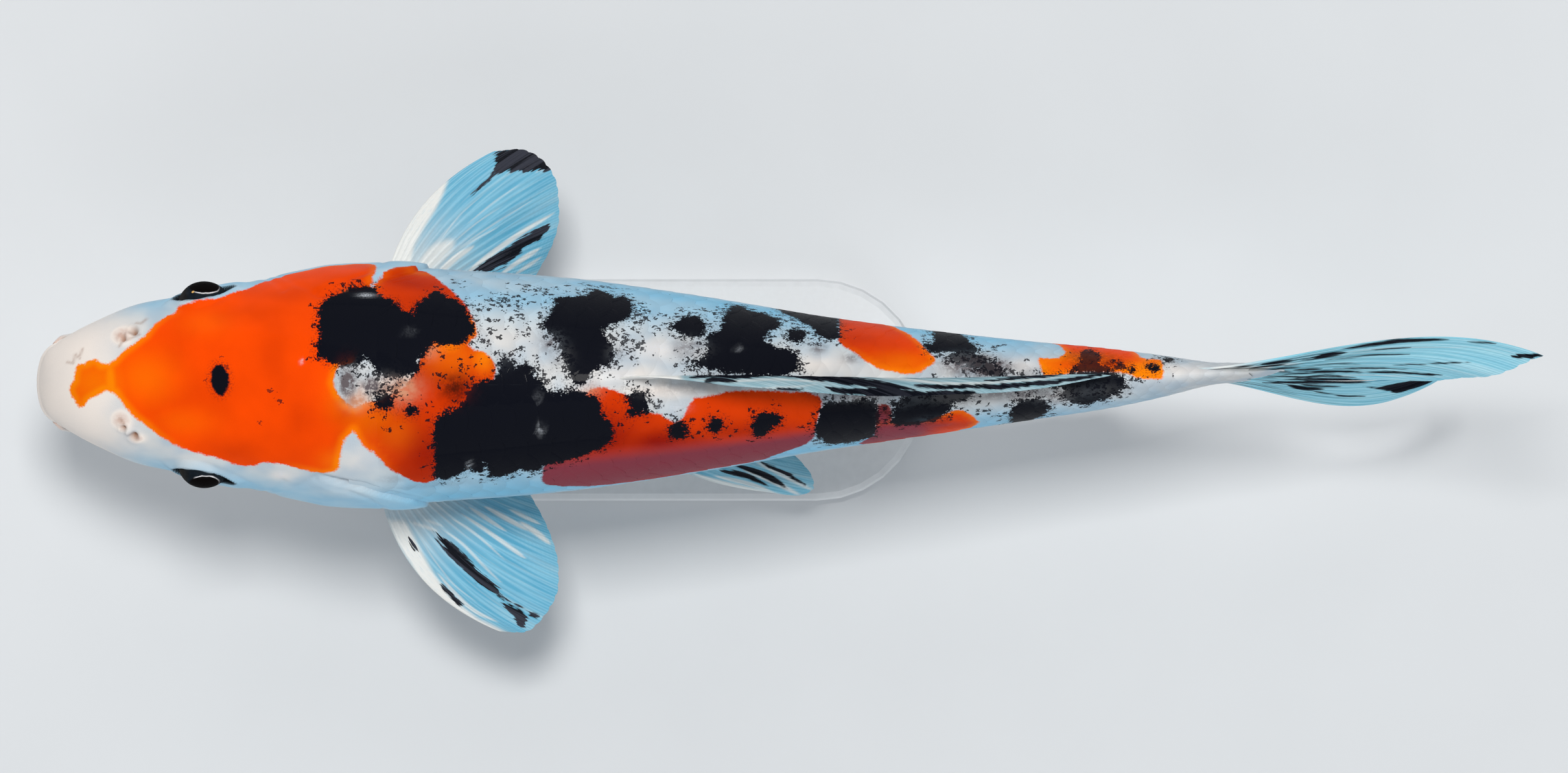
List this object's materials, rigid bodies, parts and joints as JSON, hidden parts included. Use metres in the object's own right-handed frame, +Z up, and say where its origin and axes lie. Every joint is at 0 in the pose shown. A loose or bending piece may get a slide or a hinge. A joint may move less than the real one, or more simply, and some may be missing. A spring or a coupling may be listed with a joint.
{
  "type": "koi carp display model",
  "caption": "Life-size koi carp in a swimming pose with spread pectoral fins and half-lowered dorsal fin, held by two short rods on a flat base.",
  "frame": {"origin": "on the floor, under the middle of the box round the whole model", "axes": "the head points to -X and the tail to +X, +Y is the fish's right side, +Z up"},
  "size_m": [0.2998, 0.0989, 0.1098],
  "materials": {
    "orange_skin": "wet orange-red skin and scales",
    "white_skin": "wet pearly white skin and scales",
    "black_skin": "wet blue-black skin and scales over white and red",
    "eye": "glossy dark eye with a thin bright ring",
    "fin": "thin pale membrane on white rays with dark streaks",
    "stand_plate": "satin off-white moulding",
    "stand_rod": "brushed steel",
    "stand_saddle": "matt grey soft rubber"
  },
  "bodies": {
    "root": {"head": "orange_skin", "lower_jaw": "white_skin", "gill_cover_right": "orange_skin", "gill_cover_left": "orange_skin", "trunk_front": "white_skin", "trunk_rear": "black_skin", "tail_stalk": "white_skin", "eye_right": "eye", "eye_left": "eye", "barbel_long_right": "white_skin", "barbel_long_left": "white_skin", "barbel_short_right": "white_skin", "barbel_short_left": "white_skin", "pectoral_fin_right": "fin", "pectoral_fin_left": "fin", "pelvic_fin_right": "fin", "pelvic_fin_left": "fin", "dorsal_fin": "fin", "anal_fin": "fin", "tail_fin_upper": "fin", "tail_fin_lower": "fin", "stand_base": "stand_plate", "stand_rod_front": "stand_rod", "stand_rod_rear": "stand_rod", "stand_saddle_front": "stand_saddle", "stand_saddle_rear": "stand_saddle"}
  },
  "joints": []
}
